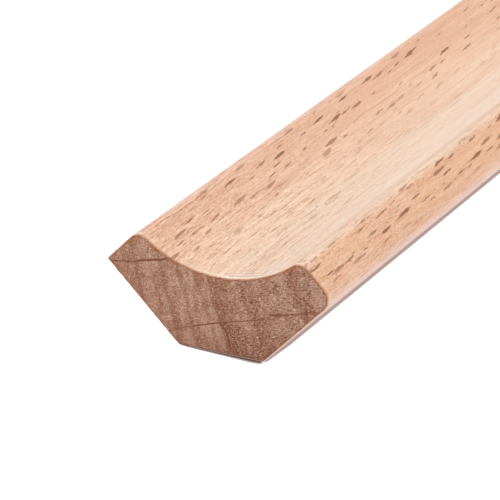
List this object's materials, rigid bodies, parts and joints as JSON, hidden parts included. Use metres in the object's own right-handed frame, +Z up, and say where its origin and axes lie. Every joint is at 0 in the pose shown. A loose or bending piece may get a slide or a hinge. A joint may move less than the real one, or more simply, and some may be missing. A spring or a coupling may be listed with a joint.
{
  "type": "scotia moulding",
  "caption": "Straight length of planed beech scotia moulding: a concave cove between nosed edges, mating faces at right angles, a splayed back corner and square-cut ends.",
  "frame": {"origin": "centre of the bounding box's base, under the middle of the length, on the level of the splay", "axes": "+X along the length and the grain, +Z up out of the cove, +Y towards the mating face with the sharp outer arris"},
  "size_m": [2.4, 0.0274, 0.0124],
  "materials": {
    "planed_beech": "planed, bare, with sawn ends"
  },
  "bodies": {
    "root": {"scotia_moulding": "planed_beech"}
  },
  "joints": []
}
